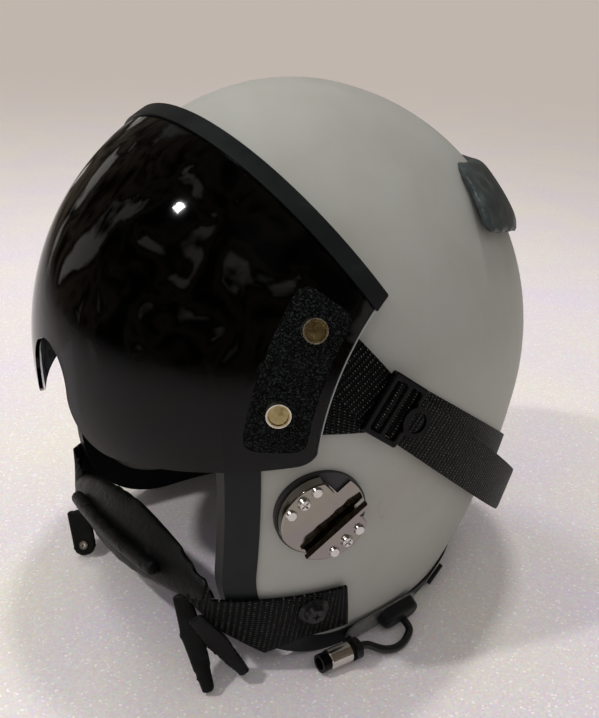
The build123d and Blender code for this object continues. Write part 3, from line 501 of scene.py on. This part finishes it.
# Painted highlight: just outside the rear edge's circle the lens is coloured pale grey and let through less,
# and beyond that band it is smoked.
past_painted_edge_highlight = put(
    tree, "ShaderNodeMapRange", {"From Min": lens_edge + edge_from, "From Max": lens_edge + edge_to},
    {"Value": ring},
).outputs["Result"]
tree.links.new(ramp(tree, past_painted_edge_highlight, (0.0, "8f9291"), (1.0, "1c1e20")), shader.inputs["Base Color"])
tree.links.new(past_painted_edge_highlight, shader.inputs["Transmission Weight"])
wear(smoked, "visor_lens")

# Visor patches: black loop fabric glued to the lens in a band ahead of its rear edge,
# with rounded corners and a nap of tiny loops, random ones painted pale as highlights.

patch_inner, patch_outer = 0.0982, 0.1227
patch_low, patch_high = radians(2), radians(40)
patch_corner = 0.006
patch_rise = 0.00175
patch_r = (patch_inner + patch_outer) / 2
patch_long = (patch_high - patch_low) * patch_r
patch_tall = patch_outer - patch_inner
loop_pitch = 0.0006

loop_fabric, tree, shader = finish("nylon loop fabric", Roughness=1.0, IOR=1.15)
place = object_place(tree)
loops = put(tree, "ShaderNodeTexVoronoi", {"Scale": 1 / loop_pitch}, {"Vector": place}, feature="F1")
fuzz = noise(tree, place, scale=700.0, detail=6.0, Roughness=0.8)
# Painted highlight: random loops are coloured pale grey-green as sparkles on the nap.
glint = put(tree, "ShaderNodeSeparateColor", links={"Color": loops.outputs["Color"]}).outputs["Green"]
nap = ramp(tree, glint, (0.0, "030403"), (0.5, "0b0d0c"), (0.8, "191c1a"), (1.0, "2f3532"))
tree.links.new(nap, shader.inputs["Base Color"])
bump(tree, shader, reckon(tree, "ADD", loops.outputs["Distance"], fuzz), depth=0.0008)


def on_lens(back, height, lift, sign):
    """Point on the lens's side moved out by lift, at a height and a distance behind the head's middle."""
    far, up = head_middle.y + back - visor_pivot.y, height - visor_pivot.z
    reach = lens_r + lift
    across = (lens_half + lift) * sqrt(max(0.0, 1 - (far / reach) ** 2 - (up / reach) ** 2))
    return Vector((sign * across, head_middle.y + back, height))


def cornered(along, over):
    """A place in the patch's rectangle, drawn in where it lies in a rounded corner."""
    nook_x, nook_y = patch_long / 2 - patch_corner, patch_tall / 2 - patch_corner
    off_x, off_y = abs(along) - nook_x, abs(over) - nook_y
    if off_x > 0 and off_y > 0:
        grow = max(off_x, off_y) / hypot(off_x, off_y)
        along = copysign(nook_x + off_x * grow, along)
        over = copysign(nook_y + off_y * grow, over)
    return along, over


def face_out(form, middle):
    """Turns an open sheet's faces so that most look away from a point."""
    form.normal_update()
    lean = sum(face.normal.dot(face.calc_center_median() - middle) * face.calc_area() for face in form.faces)
    if lean < 0:
        bmesh.ops.reverse_faces(form, faces=form.faces)
        form.normal_update()


for hand, sign in hands:
    form = bmesh.new()
    bmesh.ops.create_grid(form, x_segments=40, y_segments=18, size=0.5)
    for vert in form.verts:
        along, over = cornered(patch_long * vert.co.x, patch_tall * vert.co.y)
        angle = pi - (patch_low + patch_high) / 2 - along / patch_r
        radius = patch_r + over
        vert.co = on_lens(
            patch_ring[0] - head_middle.y + radius * cos(angle), patch_ring[1] + radius * sin(angle),
            patch_rise / 2, sign,
        )
    face_out(form, visor_pivot)
    piece = show(form, f"loop_patch_{hand}", "visor", loop_fabric, "patch_fabric", f"visor_patch_{hand}")
    thick = piece.modifiers.new("thickness", "SOLIDIFY")
    thick.thickness = patch_rise
    thick.offset = 0.0

# Snaps: brass caps, dished and tarnished brown, each with a bright ring round its rim
# that is a painted highlight, standing on the patches, and their studs on the inside.

snap_places = ((-0.0563, 0.1905), (-0.0726, 0.1546))
snap_r = 0.0064
dish_share, rim_share = 0.8, 0.88

nickel, tree, shader = finish("nickel plate", Base_Color=linear("c9c1b2"), Metallic=1.0, Roughness=0.16)
place = object_place(tree)
tarnish = noise(tree, place, scale=260.0, detail=5.0, Roughness=0.65)
bright = ramp(tree, tarnish, (0.35, "b9b0a0"), (0.6, "d8d3c8"), (0.8, "efece6"))
brown = ramp(tree, tarnish, (0.35, "7a6a48"), (0.6, "a3956a"), (0.8, "c9bd92"))
mirrored = put(tree, "ShaderNodeVectorMath", links={0: place}, operation="ABSOLUTE").outputs["Vector"]
reaches = []
for back, height in snap_places:
    near = on_lens(back, height, 0.0, 1)
    cap = [vert.co for vert in nodes["snap_caps"].data.vertices if (vert.co - near).length < 2 * snap_r]
    centre = sum(cap, Vector()) / len(cap)
    reaches.append(put(
        tree, "ShaderNodeVectorMath", {1: (centre.x, abs(centre.y), centre.z)}, {0: mirrored},
        operation="DISTANCE",
    ).outputs["Value"])
nearest = reckon(tree, "MINIMUM", *reaches)
# Painted highlight: the colour turns from the brown dish to the pale colour in a ring round each snap's rim.
rim = put(
    tree, "ShaderNodeMapRange", {"From Min": snap_r * dish_share, "From Max": snap_r * rim_share},
    {"Value": nearest},
).outputs["Result"]
plate = put(tree, "ShaderNodeMix", links={"Factor": rim, 6: brown, 7: bright}, data_type="RGBA").outputs[2]
tree.links.new(plate, shader.inputs["Base Color"])
gloss(tree, shader, tarnish, low=0.1, high=0.3)
bump(tree, shader, tarnish, depth=0.00008)
wear(nickel, "snap_caps", "snap_studs")

# Plug barrel and eyelet: bright nickel, turned smooth.

turned, tree, shader = finish("turned nickel", Base_Color=linear("cfcbc4"), Metallic=1.0, Roughness=0.2)
gloss(tree, shader, noise(tree, object_place(tree), scale=500.0, detail=2.0), low=0.14, high=0.28)
wear(turned, "connector_barrel", "chin_eyelet")

# Boot's mounting plate: zinc-plated sheet, dulled to grey.

zinc, tree, shader = finish("dull zinc plate", Base_Color=linear("8d8e8b"), Metallic=0.9, Roughness=0.38)
spangle = put(
    tree, "ShaderNodeTexVoronoi", {"Scale": 420.0}, {"Vector": object_place(tree)},
).outputs["Distance"]
tree.links.new(ramp(tree, spangle, (0.0, "9a9b98"), (0.7, "7b7c7a")), shader.inputs["Base Color"])
wear(zinc, "comm_plate")

# Webbing: coarse black nylon, woven in ribs that run across it, each rib a row of short
# floats, whose crowns carry a painted highlight and the hollows between them painted
# shade. Every strap is drawn as a sheet with its own weave map in metres.

web_wide, web_thick = 0.0254, 0.0017
rib_pitch, float_pitch = 0.0025, 0.0014
float_slant, strand_sway = 0.3, 0.0006
selvedge_share = 0.3
cast_far, cast_halvings = 0.4, 26

webbing, tree, shader = finish("woven nylon webbing", Roughness=0.5, IOR=1.2)
weave = put(tree, "ShaderNodeTexCoord").outputs["UV"]
parts = put(tree, "ShaderNodeSeparateXYZ", links={"Vector": weave})
strand = noise(tree, weave, scale=700.0, detail=4.0, Roughness=0.7)
sway = reckon(tree, "MULTIPLY", strand, strand_sway)
slant = reckon(tree, "MULTIPLY_ADD", parts.outputs["X"], float_slant, sway)
across = reckon(tree, "ADD", parts.outputs["Y"], slant)
float_wave = reckon(tree, "SINE", reckon(tree, "MULTIPLY", across, 2 * pi / float_pitch))
rib_wave = reckon(tree, "SINE", reckon(tree, "MULTIPLY", parts.outputs["X"], 2 * pi / rib_pitch))
float_high = put(tree, "ShaderNodeMapRange", {"From Min": -1.0}, {"Value": float_wave}).outputs["Result"]
rib_high = put(tree, "ShaderNodeMapRange", {"From Min": -0.8}, {"Value": rib_wave}).outputs["Result"]
crown = reckon(tree, "MULTIPLY", float_high, rib_high)
uneven = reckon(tree, "MULTIPLY", crown, strand)
# Painted highlight and shade: the floats' crowns are coloured pale grey and the hollows between them near
# black.
tree.links.new(
    ramp(tree, uneven, (0.0, "010101"), (0.24, "040404"), (0.4, "1c1e1c"), (0.55, "70756f")),
    shader.inputs["Base Color"],
)
bump(tree, shader, crown, depth=0.0008)


def beyond_egg(point, lift):
    """Over 1 where a point lies outside the shell's form moved out by lift, under 1 inside."""
    local = head_turn @ (point - head_middle)
    reach = (shell_rear if local.y > 0 else shell_front) + lift
    rise = (shell_crown if local.z > 0 else shell_low) + lift
    return (local.x / (shell_half + lift)) ** 2 + (local.y / reach) ** 2 + (local.z / rise) ** 2


def cast(start, way, lift):
    """Point where a line from inside the head leaves the shell's form moved out by lift."""
    near, far = 0.0, cast_far
    for step in range(cast_halvings):
        middle = (near + far) / 2
        if beyond_egg(start + way * middle, lift) > 1:
            far = middle
        else:
            near = middle
    return start + way * near


def on_shell(back, height, lift, sign):
    """Point on the shell's side moved out by lift."""
    return cast(Vector((0, head_middle.y + back, height)), Vector((sign, 0, 0)), lift)


def strap(name, long, wide, place, steps, rows=10, thick=web_thick):
    """A length of webbing whose lengthwise and crosswise places are turned to points."""
    form = bmesh.new()
    bmesh.ops.create_grid(form, x_segments=steps, y_segments=rows, size=0.5)
    weave_map = form.loops.layers.uv.new("weave")
    for face in form.faces:
        for corner in face.loops:
            corner[weave_map].uv = ((corner.vert.co.x + 0.5) * long, (corner.vert.co.y + 0.5) * wide)
    for vert in form.verts:
        vert.co = place((vert.co.x + 0.5) * long, vert.co.y * wide)
    face_out(form, head_middle)
    piece = show(form, name, None, webbing, "black_webbing")
    body_thick = piece.modifiers.new("thickness", "SOLIDIFY")
    body_thick.thickness = thick
    body_thick.offset = 0.0
    rounded = piece.modifiers.new("rounded selvedge", "BEVEL")
    rounded.width = thick * selvedge_share
    rounded.segments = 2
    rounded.limit_method = "ANGLE"
    bake(piece)
    soften(piece)
    return piece


# Visor straps: on each side two lengths run back from the snaps under the lens and
# meet at the ladder lock, the upper one sewn over the lower.

vee_root = (-0.0230, 0.1508)
vee_lifts = (0.0043, 0.0027)
vee_past_snap = 0.011
vee_thick = 0.0014
for hand, sign in hands:
    arms = []
    for (snap_back, snap_height), lift in zip(snap_places, vee_lifts):
        reach = hypot(snap_back - vee_root[0], snap_height - vee_root[1])
        way = ((snap_back - vee_root[0]) / reach, (snap_height - vee_root[1]) / reach)

        def arm_place(run, across):
            back = vee_root[0] + way[0] * run - way[1] * across
            height = vee_root[1] + way[1] * run + way[0] * across
            return on_shell(back, height, lift, sign)

        arms.append(strap(
            f"vee_arm_{len(arms)}_{hand}", reach + vee_past_snap, web_wide, arm_place, steps=30,
            thick=vee_thick,
        ))
    for arm in arms:
        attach(arm, "visor")
    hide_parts(f"vee_strap_{hand}")

# Ladder locks: glossy black acetal frames, each with a thumb loop.

acetal, tree, shader = finish("glossy black acetal", Base_Color=linear("030303"), Roughness=0.18, IOR=1.22)
rubs = noise(tree, object_place(tree), scale=350.0, detail=4.0)
gloss(tree, shader, rubs, low=0.12, high=0.34)
bump(tree, shader, rubs, depth=0.00005)
wear(acetal, "ladder_lock_left", "ladder_lock_right", "connector_insert")

# Webbing folded round the locks' bars, which bulges up between them.

lock_middle, lock_turn = (-0.018, 0.1488), radians(-36)
lock_long, lock_between, lock_bars_apart = 0.022, 0.0246, 0.0095
wrap_low, wrap_bulge, wrap_reach, wrap_thick = 0.0044, 0.0024, 0.0075, 0.0014
for hand, sign in hands:
    def wrap_place(run, across):
        along = run - lock_long / 2
        swell = max(0.0, cos(pi * (abs(along) - lock_bars_apart / 2) / wrap_reach))
        back = lock_middle[0] + along * cos(lock_turn) - across * sin(lock_turn)
        height = lock_middle[1] + along * sin(lock_turn) + across * cos(lock_turn)
        return on_shell(back, height, wrap_low + wrap_bulge * swell, sign)

    wrap = strap(f"lock_wrap_{hand}", lock_long, lock_between, wrap_place, steps=44, thick=wrap_thick)
    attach(wrap, "visor")

# Rear visor strap: one band of webbing round the back of the shell from lock to lock.

band_turn = radians(-33.7)
band_ahead, band_rise = 0.003, 0.0023
band_lift, band_thick = 0.00165, 0.0016
band_heart_on, band_end_on, band_end_aside = 0.02, -0.02, 0.115
band_fine, band_coarse, band_slack = 240, 96, 1e-9
band_way = Vector((0, cos(band_turn), sin(band_turn)))
band_up = Vector((0, -sin(band_turn), cos(band_turn)))
band_middle = Vector((0, head_middle.y + lock_middle[0], lock_middle[1]))
band_middle = band_middle + band_way * band_ahead + band_up * band_rise
band_heart = band_middle + band_way * band_heart_on
band_end = atan2(band_end_aside, band_end_on)


def band_point(turn, across):
    """Point of the band at a turn about its own middle, 0 at the back of the head."""
    way = band_way * cos(turn) + Vector((sin(turn), 0, 0))
    return cast(band_heart + band_up * across, way, band_lift)


def band_place(run, across):
    """Point of the band at a distance from its left end."""
    share = run / band_long
    place = share * (len(band_turns) - 1)
    low = min(int(place), len(band_turns) - 2)
    turn = band_turns[low] + (band_turns[low + 1] - band_turns[low]) * (place - low)
    return band_point(turn, across)


band_samples = [band_end - 2 * band_end * step / band_fine for step in range(band_fine + 1)]
band_walk = [0.0]
for before, after in zip(band_samples, band_samples[1:]):
    band_walk.append(band_walk[-1] + (band_point(after, 0) - band_point(before, 0)).length)
band_long = band_walk[-1]
band_turns = []
for step in range(band_coarse + 1):
    aim = band_long * step / band_coarse
    index = max(i for i, walked in enumerate(band_walk) if walked <= aim + band_slack)
    index = min(index, len(band_walk) - 2)
    share = (aim - band_walk[index]) / (band_walk[index + 1] - band_walk[index])
    band_turns.append(band_samples[index] + (band_samples[index + 1] - band_samples[index]) * share)
band = strap("rear_band", band_long, web_wide, band_place, steps=2 * band_coarse, thick=band_thick)
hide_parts("rear_visor_strap")
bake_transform(band)

# Strap tails: the loose ends beyond the locks, folded and sewn at their ends, that
# stand off the shell as they run down and back.

tail_turn = radians(-39.4)
tail_start, tail_end = 0.0119, 0.144
tail_long = tail_end - tail_start
tail_rise, tail_stand, tail_fold = 0.00505, 0.009, 0.016
tail_corner, tail_pinch = 0.006, 0.0045
tail_up = Vector((0, -sin(tail_turn), cos(tail_turn)))


def off_shell(point):
    """Direction straight out of the shell's form at a point on it."""
    local = head_turn @ (point - head_middle)
    reach = shell_rear if local.y > 0 else shell_front
    rise = shell_crown if local.z > 0 else shell_low
    normal = head_turn.inverted() @ Vector((local.x / shell_half**2, local.y / reach**2, local.z / rise**2))
    return normal.normalized()


for hand, sign in hands:
    def tail_place(run, across):
        along = tail_start + run
        from_end = tail_long - run
        if from_end < tail_corner:
            drawn_in = 1 - sqrt(max(0.0, 1 - (1 - from_end / tail_corner) ** 2))
            across *= 1 - (tail_pinch / (web_wide / 2)) * drawn_in
        back = lock_middle[0] + along * cos(tail_turn)
        height = lock_middle[1] + along * sin(tail_turn)
        here = on_shell(back, height, 0.0, sign)
        normal = off_shell(here)
        up = (tail_up - normal * tail_up.dot(normal)).normalized()
        return here + normal * (tail_rise + tail_stand * (run / tail_long) ** 2) + up * across

    tail = strap(f"loose_tail_{hand}", tail_long, web_wide, tail_place, steps=70)
    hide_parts(f"strap_tail_{hand}")

    def fold_place(run, across):
        top = tail_place(run + tail_long - tail_fold, across)
        return top + (head_middle - top).normalized() * web_thick

    fold = strap(f"tail_fold_{hand}", tail_fold, web_wide, fold_place, steps=12)
    for piece in (tail, fold):
        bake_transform(piece)

# Nape strap: webbing inside the neck opening that carries the nape pad.

shell_wall, inner_gap = 0.003, 0.0003
nape_in = -shell_wall - inner_gap - web_thick / 2
nape_long, nape_turn, nape_height = 0.235, radians(66), 0.038


def nape_place(run, across):
    """Point of the nape strap inside the back of the shell."""
    turn = (run / nape_long - 0.5) * 2 * nape_turn
    start = Vector((0, head_middle.y, nape_height + across))
    return cast(start, Vector((sin(turn), cos(turn), 0)), nape_in)


nape = strap("nape_band", nape_long, web_wide, nape_place, steps=60, rows=8)
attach(nape, "helmet")
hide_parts("nape_strap")

# Chin webs: coarse webbing screwed to the shell at each side, cut square behind the
# screw, drooping forward and sewn over the ends of the chin pad.

chin_gap = 0.0024
chin_lift = chin_gap + web_thick / 2
web_back, web_long = -0.0275, 0.0655
web_top, web_low = 0.0502, 0.0202
web_lean, web_lean_long = 0.0035, 0.01
droop_from, droop_long, droop = -0.048, 0.019, 0.0082
rise_from, rise_long, rise_low, web_rise = -0.067, 0.026, 0.012, 0.022
web_sewn, web_lap, web_seam = 0.016, 0.86, 0.014
pad_half, pad_ahead, pad_bow = 0.0829, 0.1, 0.008
pad_height, pad_tilt, pad_sag = 0.043, 0.01, 0.003
pad_tall, pad_end_tall = 0.036, 0.011
pad_thick, pad_end_thick = 0.009, 0.004
pad_turn = radians(24)
pad_lean = Vector((0, sin(pad_turn), cos(pad_turn)))


def pad_frame(share):
    """Centre, forward and upward directions of the chin pad at a share of its half length."""
    centre = Vector((
        pad_half * share, head_middle.y - pad_ahead + pad_bow * share**2,
        pad_height + pad_tilt * share - pad_sag * share**2,
    ))
    along = Vector((pad_half, 2 * pad_bow * share, pad_tilt - 2 * pad_sag * share)).normalized()
    ahead = -pad_lean.cross(along).normalized()
    return centre, ahead, ahead.cross(along).normalized()


def pad_spot(share, out, up):
    """Point off the pad's front face, moved out from it and up from its middle line."""
    centre, ahead, rise = pad_frame(share)
    half = (pad_end_thick + (pad_thick - pad_end_thick) * (1 - share**2)) / 2
    half *= sqrt(max(0.0, 1 - (2 * up / (pad_end_tall + (pad_tall - pad_end_tall) * (1 - share**2))) ** 2))
    return centre + ahead * (half + out) + rise * up


for hand, sign in hands:
    def web_place(run, across):
        back = web_back - min(run, web_long)
        share = across / (web_top - web_low) + 0.5
        low = web_low
        lean = web_lean * (share - 0.5) * 2 * max(0.0, 1 - run / web_lean_long)
        if back < droop_from:
            low -= droop * min(1.0, (droop_from - back) / droop_long)
        if back < rise_from:
            low = rise_low + web_rise * ((rise_from - back) / rise_long)
        point = on_shell(back - lean, low + (web_top - low) * share, chin_lift, sign)
        if run > web_long:
            sewn = (run - web_long) / web_sewn
            ease = sewn * sewn * (3 - 2 * sewn)
            target = pad_spot(sign * (1 - (1 - web_lap) * ease), web_thick / 2, (share - 0.5) * web_seam)
            point = point.lerp(target, ease)
        return point

    web = strap(f"cheek_web_{hand}", web_long + web_sewn, web_top - web_low, web_place, steps=64, rows=12)
    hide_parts(f"chin_web_{hand}")
    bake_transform(web)

# Chin pad: a crescent of soft black leather over foam, fuller along its top edge, with
# a padded roll sewn along its front, hanging between the webs.

pad_fuller = 0.25
pad = puffed(
    "chin_pad", "chin_crescent", "chin_strap", hide, "seal_leather", grain=0.0022, most=0.003, shrink=0.0004,
    ease=6,
)
for vert in pad.data.vertices:
    centre, ahead, rise = pad_frame(max(-1.0, min(1.0, vert.co.x / pad_half)))
    above = (vert.co - centre).dot(rise)
    if above > 0:
        vert.co += rise * above * pad_fuller
puffed(
    "chin_pad_roll", "chin_roll", "chin_strap", hide, "seal_leather", grain=0.0018, most=0.0015,
    shrink=0.0004,
)

# Loose leather tabs below the chin pad: soft leaves, thick and rubbed, whose roots run
# up into the pad's seam.

tab_root_share, tab_root_rise = 0.4, 0.006
for name, root, tip, fuller in (
    ("chin_tab_front", (0.0692, -0.0996, 0.0383), (0.0952, -0.0996, 0.0022), 1.25),
    ("chin_tab_rear", (0.084, -0.0975, 0.035), (0.098, -0.08, 0.007), 1.15),
    ("chin_eyelet_tab", (-0.0545, -0.1045, 0.0212), (-0.043, -0.106, 0.0016), 1.0),
):
    tab = puffed(
        name, name.replace("chin_", "loose_"), "chin_strap", hide, "seal_leather", grain=0.0011, most=0.0005,
        shrink=0.0001,
    )
    start = Vector(root) + Vector((0, head_middle.y, 0))
    along = Vector(tip) - Vector(root)
    root_long = along.length * tab_root_share
    along.normalize()
    for vert in tab.data.vertices:
        down = (vert.co - start).dot(along)
        axis = start + along * down
        vert.co = axis + (vert.co - axis) * fuller
        if down < root_long:
            vert.co -= along * tab_root_rise * (1 - down / root_long) ** 2

# Boot and plug neck: moulded rubber round the cord.

wear(rubber, "comm_boot", "connector_neck")
